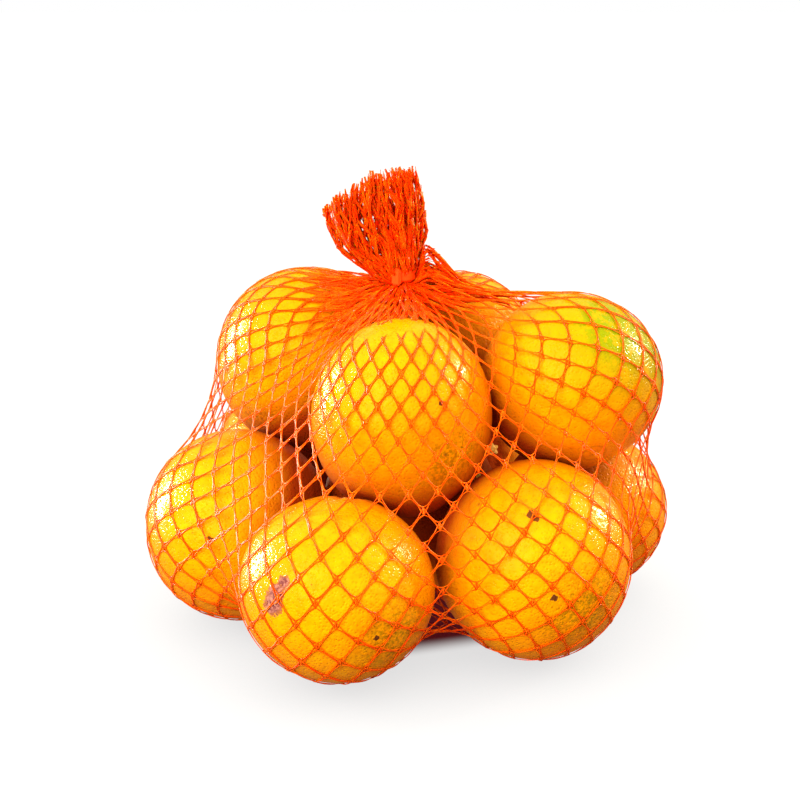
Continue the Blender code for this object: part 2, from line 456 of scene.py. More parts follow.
# %% Layers of colour in the peel, from the first to the last
ripe = add_node(tree, "MapRange", (ripeness, 0.3, 0.7))
colour = lay_over(tree, "#F29B00", "#F2AC00", ripe)
covers = {  # where each layer covers, how well, and its paint
    "blotches": (add_node(tree, "MapRange", (mottle, 0.35, 0.7, 0, 0.6)), 1, "#EA8000"),
    "oil glands": (broken_up(tree, pit_floor, specks, 0.35, 0.65), 1, "#B85600"),
    "green shoulders": (broken_up(tree, painted["green"], mottle, 0.25, 0.5), 1, "#8A9A00"),
    "sooty specks": (broken_up(tree, painted["soot"], specks, 0.4, 0.62), 0.75, "#6E6600"),
    "freckles": (freckles, 0.75, "#7A4010"),
    "rims of scars": (scar_rim, 0.85, "#7A4038"),
    "cork of scars": (ragged(tree, painted["scar"], inner_specks, 0.06), 0.9, cork),
    "bruises": (ragged(tree, painted["dark"], specks, 0.05), 0.92, "#481A18"),
    "ring round the navel": (ring, 0.45, "#A85A08"),
    "navel": (navel, 0.85, "#6B4418"),
    # Painted shade: deep in the heap, behind the netting, the peel is painted darker and redder.
    "painted shade between fruits": (painted["sheltered"], 0.95, "#9A2808"),
}
for share, strength, paint in covers.values():
    colour = lay_over(tree, colour, paint, share, strength)
print("layers of colour:", len(covers))

# Deep between the fruits the wax rubs off, so the rind is dull there, as on scars.
dull = add_node(tree, "Math", (scar_rim, painted["sheltered"]), operation="MAXIMUM")

# Wax gives the gloss. The tint keeps the broad reflections warm, as wax over rind does.
pit_depth = add_node(tree, "MapRange", (pits, 0, 0.5))
pitted = add_node(tree, "Bump", {"Height": pit_depth, "Strength": 0.8, "Distance": 0.25 * MM})
pitted_waves = add_node(
    tree, "Bump", {"Height": mottle, "Normal": pitted, "Strength": 0.6, "Distance": 0.5 * MM}
)
give_surface(peel, {
    "Base Color": colour,
    "Roughness": add_node(tree, "MapRange", (dull, 0, 1, 0.2, 0.75)),
    "IOR": 1.45,
    "Specular Tint": "#FFE08C",
    "Normal": pitted_waves,
})

# %% [markdown]
# ## Fruits, pressed where they touch
# Each fruit is an even ball of triangles whose points are moved out to the peel. At the
# stem end a shallow dimple with a few furrows is sunk in. Fruits in a tight net press on
# each other, so where two would overlap, both give way to the plane between them with a
# rounded edge, as soft fruit does. The marks are point values: each one is strongest at
# its middle and fades out over its own size. One more value tells how far a spot lies
# behind the netting: deep in the heap the peel is made dull, and its colour is painted
# darker there as painted shade.

# %% Marks on the peel: kind, direction from the fruit's middle, radius in millimetres
MARKS = {
    "front_left": [
        ("scar", (-0.6, -0.79, 0.16), 5.2),
        ("scar", (-0.57, -0.79, 0.27), 4.6),
        ("scar", (-0.49, -0.79, 0.39), 3.2),
        ("soot", (0.64, -0.73, -0.25), 17),
        ("dark", (0.43, -0.89, -0.17), 1.6),
    ],
    "front_right": [
        ("dark", (-0.1, -0.68, 0.73), 2.3),
        ("dark", (-0.05, -0.71, 0.7), 1.7),
        ("dark", (0.12, -0.99, -0.02), 1.7),
        ("soot", (0.45, -0.87, -0.22), 20),
    ],
    "top_front": [("soot", (0.56, -0.78, -0.28), 17), ("dark", (0.41, -0.81, 0.41), 1.4)],
    "top_right": [("green", (0.4, -0.5, 0.77), 32), ("green", (0.85, -0.2, 0.5), 26)],
    "top_left": [("soot", (-0.5, -0.7, -0.5), 12)],
    "top_back": [("green", (0.2, 0.75, 0.6), 24)],
    "back_left": [("soot", (-0.5, 0.8, -0.2), 14), ("scar", (-0.8, 0.45, 0.4), 5)],
    "back_right": [("soot", (0.5, 0.8, 0.3), 12)],
    "right": [("green", (0.9, 0.3, 0.3), 18)],
    "left": [("soot", (-0.6, 0.5, 0.6), 10), ("dark", (-0.2, -0.95, 0.2), 1.5)],
}
print("marks on the peel:", sum(len(marks) for marks in MARKS.values()))


# %% Shape of a fruit, in millimetres
PRESSED_EDGE = 1.5  # how softly a pressed face rounds off into the peel
DIMPLE_RADIUS = 5.5
DIMPLE_DEPTH = 1.7
FURROWS = 8
FURROW_DEPTH = 0.3
FURROW_PLACE = 8  # how far from the stem's foot the furrows are deepest
FURROW_REACH = 4.5


def turned_to_stem(fruit):
    """The turn that takes the upright axis of a fruit's own space to its stem."""
    return Vector(fruit.stem).to_track_quat("Z", "X").to_matrix()


def dimple(fruit, directions):
    """How far the peel sinks towards the stem's foot, in millimetres."""
    turn = np.array(turned_to_stem(fruit))
    local = directions @ turn
    arc = fruit.radius * np.arccos(np.clip(local[:, 2], -1, 1))
    around = np.arctan2(local[:, 1], local[:, 0])
    furrow = np.cos(FURROWS * around + fruit.number)
    furrow *= np.exp(-(((arc - FURROW_PLACE) / FURROW_REACH) ** 2))
    return DIMPLE_DEPTH * np.exp(-((arc / DIMPLE_RADIUS) ** 2)) + FURROW_DEPTH * furrow


def press_flat(fruit, points):
    """Holds points back from the plane between this fruit and each neighbour."""
    for other in fruits:
        if other is fruit:
            continue
        across = other.centre - fruit.centre
        distance = np.linalg.norm(across)
        across /= distance
        plane = distance * fruit.radius / (fruit.radius + other.radius) - TOUCH_GAP / 2
        depth = np.maximum((points - fruit.centre) @ across - plane + PRESSED_EDGE, 0)
        beyond = depth - PRESSED_EDGE * np.tanh(depth / PRESSED_EDGE)
        points -= beyond[:, None] * across
    return points


# %% How far a spot lies behind the netting
# Behind the netting the peel is made dull and painted darker as shade, from this depth on.
SHELTER_BEGINS = 9  # millimetres behind the netting at which the peel begins to be dull
SHELTER_DEPTH = 18  # and this much deeper it is quite dull
net_places = KDTree(len(net_points))
for order, point in enumerate(net_points):
    net_places.insert(point, order)
net_places.balance()


def sheltered(points):
    """0 where the netting lies on the peel, rising to 1 deep in the heap behind it."""
    depth = np.array([net_places.find(point)[2] for point in points])
    return np.clip((depth - SHELTER_BEGINS) / SHELTER_DEPTH, 0, 1)


# %% Fruits
MARK_REACH = 1.35  # of a mark's radii, where it has faded out; it is full up to 0.35
FRUIT_SUBDIVISIONS = 6


def fruit_mesh(fruit):
    """A fruit's peel round its own middle, with its marks as point values."""
    ball = bmesh.new()
    bmesh.ops.create_icosphere(ball, subdivisions=FRUIT_SUBDIVISIONS, radius=1)
    directions = unit([v.co for v in ball.verts])
    distance = fruit.peel(directions) - dimple(fruit, directions)
    points = press_flat(fruit, fruit.centre + directions * distance[:, None])
    local = (points - fruit.centre) * MM
    for vertex, place in zip(ball.verts, local):
        vertex.co = place
    mesh = bpy.data.meshes.new(fruit.name)
    ball.to_mesh(mesh)
    ball.free()
    fields = {kind: np.zeros(len(points)) for kind in ("green", "soot", "scar", "dark")}
    for kind, direction, size in MARKS.get(fruit.name, []):
        apart = fruit.radius * np.arccos(np.clip(directions @ unit(direction), -1, 1))
        mark = np.clip(MARK_REACH - apart / size, 0, 1)
        fields[kind] = np.maximum(fields[kind], mark)
    # How deep in the heap each point lies: it dulls the peel and paints it darker as shade.
    fields["sheltered"] = sheltered(points)
    fields["fruit_number"] = np.full(len(points), float(fruit.number))
    for kind, values in fields.items():
        attribute = mesh.attributes.new(kind, "FLOAT", "POINT")
        attribute.data.foreach_set("value", values.astype(np.float32))
    own_place = local @ np.array(turned_to_stem(fruit))
    attribute = mesh.attributes.new("own_place", "FLOAT_VECTOR", "POINT")
    attribute.data.foreach_set("vector", own_place.astype(np.float32).ravel())
    mesh.shade_smooth()
    return mesh


def show(name, mesh, material, stands_for="filled_net"):
    """Adds a piece that rides on the heap and stands for one of its plain solids."""
    mesh.materials.append(material)
    piece = bpy.data.objects.new(name, mesh)
    bpy.context.scene.collection.objects.link(piece)
    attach(piece, "root")
    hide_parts(stands_for)
    return piece


for fruit in fruits:
    piece = show("orange_" + fruit.name, fruit_mesh(fruit), peel)
    piece.location = fruit.centre * MM
print("triangles in a fruit:", len(piece.data.polygons))

# %% [markdown]
# ## Stem buttons
# Where the stem was cut, a dry pale star with five blunt lobes stays in the dimple. It
# is so small that a disc whose rim swells five times gives all of it: the lobes, the
# sunken collar and the pale cut end of the stem. Its dead tissue is fibrous and dull.

# %% Stem buttons: radius, height and depth of the lobes along the section, in millimetres
BUTTON_SECTION = (
    (0.5, 0.75, 0.0),
    (1.2, 0.9, 0.0),
    (1.45, 0.7, 0.05),
    (1.7, 0.35, 0.1),
    (2.3, 0.5, 0.2),
    (2.9, 0.15, 0.3),
    (2.7, -0.5, 0.3),
    (1.0, -0.9, 0.0),
)
BUTTON_SIDES = 30
BUTTON_LOBES = 5

# %% Material: dried calyx
GRAIN_SCALE = 0.9 / MM  # one fibre to every 1.1 mm

calyx, tree = new_material("dried calyx")
place = add_node(tree, "TexCoord", out="Object")
grain = add_node(tree, "TexNoise", (place, GRAIN_SCALE, 4))
pale = add_node(tree, "MapRange", (grain, 0.35, 0.65))
give_surface(calyx, {
    "Base Color": lay_over(tree, "#E8A020", "#FFDC7C", pale),
    "Roughness": 0.75,
    "Normal": add_node(tree, "Bump", {"Height": grain, "Strength": 0.6, "Distance": 0.2 * MM}),
})

# %% Stem buttons
buttons = bmesh.new()
for fruit in fruits:
    turn = turned_to_stem(fruit)
    foot = fruit.stem * (float(fruit.peel(fruit.stem)) - DIMPLE_DEPTH)
    rings = []
    for radius, height, lobes in BUTTON_SECTION:
        ring = []
        for k in range(BUTTON_SIDES):
            angle = 2 * math.pi * k / BUTTON_SIDES
            reach = radius * (1 + lobes * math.cos(BUTTON_LOBES * angle + fruit.number))
            local = Vector((reach * math.cos(angle), reach * math.sin(angle), height))
            ring.append(buttons.verts.new((Vector(fruit.centre + foot) + turn @ local) * MM))
        rings.append(ring)
    for upper, lower in zip(rings, rings[1:]):
        for k in range(BUTTON_SIDES):
            after = (k + 1) % BUTTON_SIDES
            buttons.faces.new((upper[k], lower[k], lower[after], upper[after]))
    buttons.faces.new(rings[0])
    buttons.faces.new(rings[-1][::-1])
mesh = bpy.data.meshes.new("stem_buttons")
buttons.to_mesh(mesh)
buttons.free()
mesh.shade_smooth()
show("stem_buttons", mesh, calyx)
print("stem buttons:", len(fruits))

# %% [markdown]
# ## Knitted plastic tape
# The net is knitted from split polyethylene film: thin flat threads, dyed orange
# through and through, with a soft waxy gloss and a little light coming through them.
# The eye reads it as red where threads lie over each other and salmon where a single
# one has light behind it. Threads that lie over each other are painted redder, as painted
# shade. Each thread also gets its own random tone.

# %% Material: knitted polyethylene tape
netting, tree = new_material("knitted polyethylene tape")
tone = add_node(tree, "Attribute", out="Fac", attribute_name="tone")
give_surface(netting, {
    "Base Color": lay_over(tree, "#FF3400", "#FF6A08", tone),
    "Roughness": add_node(tree, "MapRange", (tone, 0, 1, 0.32, 0.5)),
    "IOR": 1.5,
    "Specular Tint": "#FFB078",
    "Subsurface Weight": 0.5,
    "Subsurface Radius": (1.0, 0.35, 0.1),
    "Subsurface Scale": 0.8 * MM,
})

# %% [markdown]
# ## Threads of the net
# A knitted side is a chain of loops that lies flat and looks like two thin tapes side by
# side. Just before a crossing the tapes part, run to its upper and lower end, and leave
# tiny triangles open. Round tubes would lose that. So each side becomes two flat tapes
# that follow the pulled side, twist as they go, and part near the crossings, where a small
# spindle of thread ties them. All tapes are built at once, as one array of points. Towards
# the neck the netting gathers in folds that lie over each other, so there the same tapes
# are laid twice more, each time turned a little. Right of the neck the outer folds hang
# slack and stand off the fruits.

# %% Sizes of the tapes, in millimetres
TAPE_HALF_WIDTH = 0.3
TAPE_HALF_THICKNESS = 0.14
TAPE_SPACING = 0.22
BUNCHED_HALF_WIDTH = 0.6  # at the neck, where loops pile up
POINTS_ALONG = 7  # of each tape
TWIST = 2.6  # most that a tape turns along a side, in radians


def smooth_line(chain, count):
    """Points on a smooth curve through each chain of points."""
    first = 2 * chain[:, :1] - chain[:, 1:2]
    last = 2 * chain[:, -1:] - chain[:, -2:-1]
    line = np.concatenate([first, chain, last], axis=1)
    at = np.linspace(0, chain.shape[1] - 1, count)
    whole = np.minimum(at.astype(int), chain.shape[1] - 2)
    t = (at - whole)[None, :, None]
    p0, p1, p2, p3 = (line[:, whole + k] for k in range(4))
    bend = (2 * p0 - 5 * p1 + 4 * p2 - p3) * t**2 + (3 * p1 - p0 - 3 * p2 + p3) * t**3
    return p1 + 0.5 * ((p2 - p0) * t + bend)


# %% Ways out of the heap, and how bunched the netting is
OUTWARD_REACH = 4  # how far off its peel a fruit still tells the way out
AXIS_WEIGHT = 0.25  # what the way from the neck's axis counts beside that
BUNCHING_REACH = 38  # millimetres from the neck
NECK_BUNCHING = 1.3  # at the neck itself: whatever is over 1 counts as 1
TAIL_BUNCHING = 0.75  # above the clip


def from_neck(points):
    return points - NECK - TO_FRAME


def outward(points):
    """The way out of the heap: away from the nearest fruits, and a little from its axis."""
    from_axis = from_neck(points) * (1, 1, 0)
    total = AXIS_WEIGHT * from_axis / (np.linalg.norm(from_axis, axis=-1, keepdims=True) + 0.1)
    for fruit in fruits:
        away = points - fruit.centre
        distance = np.linalg.norm(away, axis=-1, keepdims=True)
        total += away / distance * np.exp((fruit.radius - distance) / OUTWARD_REACH)
    return unit(total)


def bunched(points):
    """1 at the neck, less above the clip, and falling to 0 with the distance below it."""
    away = from_neck(points)
    distance = np.linalg.norm(away, axis=-1, keepdims=True)
    below = np.clip(NECK_BUNCHING - distance / BUNCHING_REACH, 0, 1)
    return np.where(away[..., 2:] > NECK_HALF_HEIGHT, TAIL_BUNCHING, below)


# %% Flat tapes, all in one mesh
def tape_corners(lines, normals, phase, half_width, half_thickness):
    """The four corners round every point of every line, as (tape, point, corner, xyz)."""
    along = unit(np.gradient(lines, axis=1))
    side = unit(np.cross(normals, along))
    up = np.cross(along, side)
    share = np.linspace(0, 1, lines.shape[1])
    twist = phase[:, None] + share * TWIST * np.cos(3 * phase)[:, None]
    c, s = np.cos(twist)[..., None], np.sin(twist)[..., None]
    wide = (c * side + s * up) * half_width
    thick = (c * up - s * side) * half_thickness
    return lines[:, :, None] + np.stack([wide, thick, -wide, -thick], axis=2)


def tape_mesh(name, corners, tones):
    """One mesh of all the tapes, each walled round its corners and capped at both ends."""
    tapes, count, around = corners.shape[:3]
    number = np.arange(tapes * count * around).reshape(tapes, count, around)
    after = np.roll(number, -1, axis=2)
    walls = np.stack([number[:, :-1], after[:, :-1], after[:, 1:], number[:, 1:]], axis=-1)
    caps = np.concatenate([number[:, 0, ::-1], number[:, -1]])
    faces = np.concatenate([walls.reshape(-1, 4), caps]).astype(np.int32)
    mesh = bpy.data.meshes.new(name)
    mesh.vertices.add(number.size)
    mesh.vertices.foreach_set("co", (corners * MM).astype(np.float32).ravel())
    mesh.loops.add(faces.size)
    mesh.loops.foreach_set("vertex_index", faces.ravel())
    mesh.polygons.add(len(faces))
    mesh.polygons.foreach_set("loop_start", np.arange(0, faces.size, 4, dtype=np.int32))
    mesh.update(calc_edges=True)
    attribute = mesh.attributes.new("tone", "FLOAT", "POINT")
    attribute.data.foreach_set("value", np.repeat(tones, count * around).astype(np.float32))
    mesh.shade_smooth()
    return mesh


# %% Part each side into its two tapes
CROSSING_HALF_LENGTH = 1.5
PARTING = 0.3  # share of a side over which its tapes part
BUNCHED_SPREAD = 0.6  # share by which they run further apart at the neck


def side_tapes(chains, low_up, high_up, normals_of, count=POINTS_ALONG):
    """Two lines along each side. low_up and high_up point up the net at its two ends."""
    line = smooth_line(chains, count)
    share = np.linspace(0, 1, count)[None, :, None]
    across = unit(np.cross(normals_of(line), unit(np.gradient(line, axis=1))))
    up_here = low_up[:, None] * (1 - share) + high_up[:, None] * share
    across *= np.sign((across * up_here).sum(axis=-1, keepdims=True))
    ends = np.minimum(share, 1 - share)
    parted = 0.5 + 0.5 * np.cos(np.pi * np.clip(ends / PARTING, 0, 1))
    spacing = TAPE_SPACING * (1 + BUNCHED_SPREAD * bunched(line))
    offset = up_here * CROSSING_HALF_LENGTH * parted + across * spacing * (1 - parted)
    return np.concatenate([line + offset, line - offset])


# %% Threads with their knots
KNOT_HALF_LENGTH = 1.2 * CROSSING_HALF_LENGTH
KNOT_HALF_WIDTH = 0.42
KNOT_FLATNESS = 0.7
TONES = (0.35, 1.0)  # darkest and lightest thread
# Painted shade: threads that lie over each other near the neck are painted redder.
CROWDED_SHADE = 0.75  # how much redder threads are where they lie over each other
chance = np.random.default_rng(7)


def add_threads(name, lines, knots, knot_ups, normals_of, stands_for="filled_net"):
    """One piece of the net: its tapes, and a spindle of thread on each of its crossings."""
    share = np.linspace(-1, 1, lines.shape[1])
    spindles = knots[:, None] + knot_ups[:, None] * (share * KNOT_HALF_LENGTH)[:, None]
    swell = (np.sqrt(1 - 0.9 * share**2) * KNOT_HALF_WIDTH)[:, None]
    tape_turns = chance.uniform(-0.5, 0.5, len(lines))
    knot_turns = np.full(len(knots), math.pi / 6)  # at this turn a thread has no twist
    width = TAPE_HALF_WIDTH + (BUNCHED_HALF_WIDTH - TAPE_HALF_WIDTH) * bunched(lines)
    corners = [
        tape_corners(lines, normals_of(lines), tape_turns, width, TAPE_HALF_THICKNESS),
        tape_corners(spindles, normals_of(spindles), knot_turns, swell, KNOT_FLATNESS * swell),
    ]
    # A thread's tone is random, less a painted shade where threads pile up near the neck.
    crowding = np.concatenate([bunched(lines).mean(axis=(1, 2)), bunched(knots)[:, 0]])
    tones = chance.uniform(*TONES, len(crowding)) - CROWDED_SHADE * crowding
    mesh = tape_mesh(name, np.concatenate(corners), tones)
    show(name, mesh, netting, stands_for)
    print(name, "triangles:", 2 * len(mesh.polygons))


# %% Pleats, slack and folds near the neck, in millimetres
FOLD_TURN = 2 * math.pi / ROUND_CELLS * 0.6  # how far the doubled netting is turned
FOLD_DROP = 1.5
FOLDED_FROM = ((0.15, 0.6), (0.5, 0.1))  # how bunched each fold begins, its share of slack
PLEATS = 13
PLEAT_DEPTH = 1.6
PLEATS_BEGIN = 3.2  # from the neck's axis
PLEATS_GROW = 8  # and this much further out they have their full depth
SLACK_HEIGHT = 17.0  # of the loose fold that runs from the neck to the right
SLACK_TURN = 0.25  # its direction round the neck, in radians
SLACK_SPREAD = 0.5  # to both sides of that, in radians
SLACK_PLACE = 10  # from the neck's axis, where it stands highest
SLACK_REACH = 13
SLACK_ONSET = 6  # from the clip, where it has its full lift


def pleat(points):
    """Lifts and sinks the netting round the neck in folds that run out from it."""
    away = from_neck(points)
    turn = np.arctan2(away[:, 1], away[:, 0])
    distance = np.hypot(away[:, 0], away[:, 1])
    grown = np.clip((distance - PLEATS_BEGIN) / PLEATS_GROW, 0, 1)
    depth = PLEAT_DEPTH * bunched(points)[:, 0] * grown
    points[:, 2] += depth * np.cos(PLEATS * turn + 2 * np.sin(2 * turn))


def loosened(points, share=1.0):
    """Netting lifted into the slack that its outer layers keep right of the neck."""
    away = from_neck(points)
    turn = np.arctan2(away[..., 1], away[..., 0])
    distance = np.hypot(away[..., 0], away[..., 1])
    off = ((distance - SLACK_PLACE) / SLACK_REACH) ** 2
    off += ((turn - SLACK_TURN) / SLACK_SPREAD) ** 2
    clear_of_clip = np.clip((distance - NECK_RADIUS) / SLACK_ONSET, 0, 1)
    lift = share * SLACK_HEIGHT * np.exp(-off) * clear_of_clip
    return points + lift[..., None] * np.array([0, 0, 1])


def folded_over(points, times_folded):
    """The same netting again, turned a little round the neck, as where a fold doubles it."""
    away = from_neck(points)
    share = bunched(points)[..., 0] * times_folded
    turn = share * FOLD_TURN
    c, s = np.cos(turn), np.sin(turn)
    x = c * away[..., 0] - s * away[..., 1]
    y = s * away[..., 0] + c * away[..., 1]
    return np.stack([x, y, away[..., 2] - FOLD_DROP * share], axis=-1) + NECK + TO_FRAME


# %% The net round the heap
TAPE_LIFT = 0.12  # gap between a tape and the peel it lies on
NET_BREAKS = (0, 11, 22, 31, ROWS)  # rows at which the net is split into pieces


def upward_at_crossings():
    """The direction up the net at each crossing, from the cords below and above it."""
    total = np.zeros((len(net_points), 3))
    for here, before, after in ((0, 0, 1), (-1, -2, -1)):
        step = net_points[net_chains[:, after]] - net_points[net_chains[:, before]]
        np.add.at(total, net_chains[:, here], unit(step))
    return unit(total[: (ROWS + 1) * ROUND_CELLS])


upward = upward_at_crossings()
pleat(net_points)
for part, (first_row, last_row) in enumerate(zip(NET_BREAKS, NET_BREAKS[1:])):
    chosen = net_chains[first_row * 2 * ROUND_CELLS : last_row * 2 * ROUND_CELLS]
    low, high = chosen[:, 0], chosen[:, -1]
    lines = side_tapes(net_points[chosen], upward[low], upward[high], outward)
    crowded = bunched(lines).max(axis=(1, 2))
    folds = [
        loosened(folded_over(lines[crowded > least], fold + 1), slack)
        for fold, (least, slack) in enumerate(FOLDED_FROM)
    ]
    lines = np.concatenate([loosened(lines), *folds])
    shape = lines.shape
    lines = lines.reshape(-1, 3)
    lay_on_fruits(lines, TAPE_HALF_THICKNESS + TAPE_LIFT)
    crossings = np.arange(first_row * ROUND_CELLS, last_row * ROUND_CELLS)
    knots = loosened(net_points[crossings])
    add_threads(f"net_{part + 1}", lines.reshape(shape), knots, upward[crossings], outward)

# %% [markdown]
# ## Neck and flared end
# The net runs through the clip as a tight bundle and opens above it. The cut end stands
# upright on the right and leans over to the left, because that is how a hand left it. Each
# thread follows a smooth way up, given for eight directions round the neck and blended
# in between. Two more layers inside it are the inner folds of the same pleats, and keep
# the brush of threads full. The ends are ragged, as scissors leave them.

# %% Ways of the flared end: three points in each direction, millimetres from the neck
TAIL_WAYS = {  # by direction, in even steps of degrees
    0: ((6, 1, 13), (8, 1, 29), (5, 1, 44)),
    45: ((6, 4, 8), (11, 6, 16), (10, 6, 27)),
    90: ((0, 5, 12), (-4, 9, 24), (-7, 8, 38)),
    135: ((-16, 5, 5), (-27, 6, 18), (-24, 5, 33)),
    180: ((-18, -1, 4), (-32, -2, 16), (-31, -2, 29)),
    225: ((-17, -5, 5), (-28, -8, 20), (-26, -6, 35)),
    270: ((-5, -6, 13), (-13, -8, 28), (-13, -6, 43)),
    315: ((4, -4, 14), (5, -5, 30), (2, -4, 45)),
}
FOLDS = 15
FOLD_DEPTH = 1.6


def tail_surface(turn, share, inset):
    """The place on the flared end in a direction round the neck, this share of the way up."""
    given = np.array(list(TAIL_WAYS.values()), float)
    at = turn / (2 * math.pi) * len(given)
    first = np.floor(at).astype(int) % len(given)
    blend = (0.5 - 0.5 * np.cos(math.pi * (at - np.floor(at))))[..., None, None]
    way = given[first] * (1 - blend) + given[(first + 1) % len(given)] * blend
    round_neck = np.stack([np.cos(turn), np.sin(turn), 0 * turn], axis=-1)
    start = round_neck * NECK_RADIUS + (0, 0, -NECK_HALF_HEIGHT)
    s = share[..., None]
    place = (1 - s) ** 3 * start + s**3 * way[..., 2, :]
    place += 3 * s * (1 - s) * ((1 - s) * way[..., 0, :] + s * way[..., 1, :])
    middle = (1 - s) * start.mean(axis=0) + s * np.mean(given[:, 2], axis=0)
    fold = FOLD_DEPTH * s * np.cos(FOLDS * turn + 2 * np.sin(2 * turn))[..., None]
    place[..., :2] += inset * s * (middle - place)[..., :2]
    return place + fold * round_neck + NECK + TO_FRAME


# %% Threads of the flared end
TAIL_ROWS = 6
TAIL_POINTS = 6  # of each tape
LONGEST = 0.97  # share of its way that the longest thread reaches
CUT = 0.6  # share of the last sides that the cut leaves
RAGGEDNESS = 0.05  # share of the length by which the cut ends differ
UNEVENNESS = 1.0
TAIL_INSETS = (0.0, 0.22, 0.45)  # how far each layer of pleats lies towards the middle


def tail_normals(points):
    return unit(from_neck(points) * (1, 1, 0.2) + 0.01)


def tail_layer(inset):
    """Sides and knots of the flared end. An inset layer is an inner pleat of the netting."""
    ends = side_ends(TAIL_ROWS + 1).reshape(-1, 2)
    row, cell = np.divmod(np.arange((TAIL_ROWS + 1) * ROUND_CELLS), ROUND_CELLS)
    turns = (cell + 0.5 * (row % 2)) * 2 * math.pi / ROUND_CELLS
    shares = row / (TAIL_ROWS - 1 + CUT)
    shares = shares * (LONGEST - RAGGEDNESS * chance.uniform(0, 1, len(row)))
    jitter = chance.normal(size=(len(row), 3)) * UNEVENNESS * np.minimum(row, 1)[:, None]

    kept = np.where(ends[:, :1] >= (TAIL_ROWS - 1) * ROUND_CELLS, CUT, 1)
    step = kept * np.linspace(0, 1, PARTS + 1)
    turn_change = (turns[ends[:, 1]] - turns[ends[:, 0]] + math.pi) % (2 * math.pi) - math.pi
    side_turns = turns[ends[:, :1]] + turn_change[:, None] * step
    side_shares = shares[ends[:, :1]] * (1 - step) + shares[ends[:, 1:]] * step
    weight = step[..., None]
    side_jitter = jitter[ends[:, 0], None] * (1 - weight) + jitter[ends[:, 1], None] * weight
    chains = tail_surface(side_turns, side_shares, inset) + side_jitter
    knots = tail_surface(turns, shares, inset) + jitter
    below, above = (tail_surface(turns, shares + shift, inset) for shift in (-0.05, 0.05))
    rise = unit(above - below)
    lines = side_tapes(chains, rise[ends[:, 0]], rise[ends[:, 1]], tail_normals, TAIL_POINTS)
    knotted = slice(0, TAIL_ROWS * ROUND_CELLS)
    return lines, knots[knotted], rise[knotted]


layers = [tail_layer(inset) for inset in TAIL_INSETS]
lines, knots, rises = (np.concatenate(parts) for parts in zip(*layers))
add_threads("net_flared_end", lines, knots, rises, tail_normals, "net_tail")

# %% [markdown]
# ## Lower gather
# Under the heap the tube is closed the same way, drawn into a small knot of thread ends
# in the hollow between the fruits. It only shows when the net is lifted.

# %% Lower gather
TUFT_LENGTH = 6.0
TUFT_RADIUS = 1.6
TUFT_WAIST = 1.5  # how far its threads are drawn in between the gather and their tips
foot = LOWER_GATHER + TO_FRAME
spread = np.linspace(0, 1, POINTS_ALONG)[None, :, None]
around = circle(0, 1)
tips = foot + around * TUFT_RADIUS * chance.uniform(0.2, 1.2, (ROUND_CELLS, 1))
tips[:, 2] -= TUFT_LENGTH * chance.uniform(0.7, 1, ROUND_CELLS)
starts = foot + around * GATHER_RADIUS
waist = (starts + tips) / 2 - around * TUFT_WAIST
lines = (1 - spread) ** 2 * starts[:, None] + spread**2 * tips[:, None]
lines += 2 * spread * (1 - spread) * waist[:, None]
add_threads("net_gather", lines, starts, upward[:ROUND_CELLS], tail_normals)

# %% [markdown]
# ## Clip
# The clip is a band of moulded polypropylene, pressed shut round the neck. It is dyed
# like the net, but smooth and thicker, so it looks a little lighter and shines more. Its
# solid in the frame has the right shape and only needs the finish: an even colour, the
# faint waviness of moulded plastic and small soft highlights.

# %% Material: moulded polypropylene
FLOW_SCALE = 0.35 / MM  # one wave to every 3 mm

clip_plastic, tree = new_material("moulded polypropylene")
place = add_node(tree, "TexCoord", out="Object")
flow = add_node(tree, "TexNoise", (place, FLOW_SCALE, 3))
give_surface(clip_plastic, {
    "Base Color": lay_over(tree, "#F83C04", "#FF5810", flow),
    "Roughness": 0.3,
    "IOR": 1.49,
    "Normal": add_node(tree, "Bump", {"Height": flow, "Strength": 0.3, "Distance": 0.15 * MM}),
})
clip = frame["nodes"]["neck_clip"]
clip.data.materials.clear()
clip.data.materials.append(clip_plastic)
print("clip:", len(clip.data.polygons), "faces")

# %% [markdown]
# ## Floor, light and camera
# The heap stands on a white panel that glows by itself, so its shadow is only a breath of
# grey, and that shadow is painted: the glow is dimmed where the heap covers the sky above
# it, and under the fruits the panel is painted the dark red of light that was thrown back
# and forth by the peel, as painted shade. A broad soft light from the upper left front
# shapes the heap, and a weaker one from the right fills its shaded side. Two tall lights at
# the sides give only gloss: the long highlights on the wax. The room sends strong, even,
# warm light from all round, so that no side is dark, and the panel throws a little warm
# light back.

# %% Floor
FLOOR_HALF_SIZE = 6  # in metres
FLOOR_GAP = 0.5 * MM  # so that the panel doesn't cut into the net
# The panel's shadow is painted: its glow dims where the heap covers the sky, and under the heap it
# is painted dark red as shade.
CONTACT_REACH = 120 * MM
UNDER_EDGE = (10 * MM, 26 * MM)  # how far in from the outer fruits' feet the dark begins
OUTER_FRUITS = ("front_left", "front_right", "right", "back_right", "back_left", "left")
SHADED_GLOW = 0.7  # how bright the panel looks where no sky is open above it
GLOW_ON_FRUITS = 0.3  # how brightly it lights the fruits

floor_paint, tree = new_material("white light panel")
seen = add_node(tree, "LightPath", out="Is Camera Ray")
# Painted shadow: the panel's glow is dimmed where the heap covers the sky above it.
open_sky = add_node(tree, "AmbientOcclusion", {"Distance": CONTACT_REACH}, "AO", samples=16)
glow_with_painted_shadow = add_node(tree, "MapRange", (open_sky, 0, 0.9, SHADED_GLOW, 1))
place = add_node(tree, "TexCoord", out="Object")
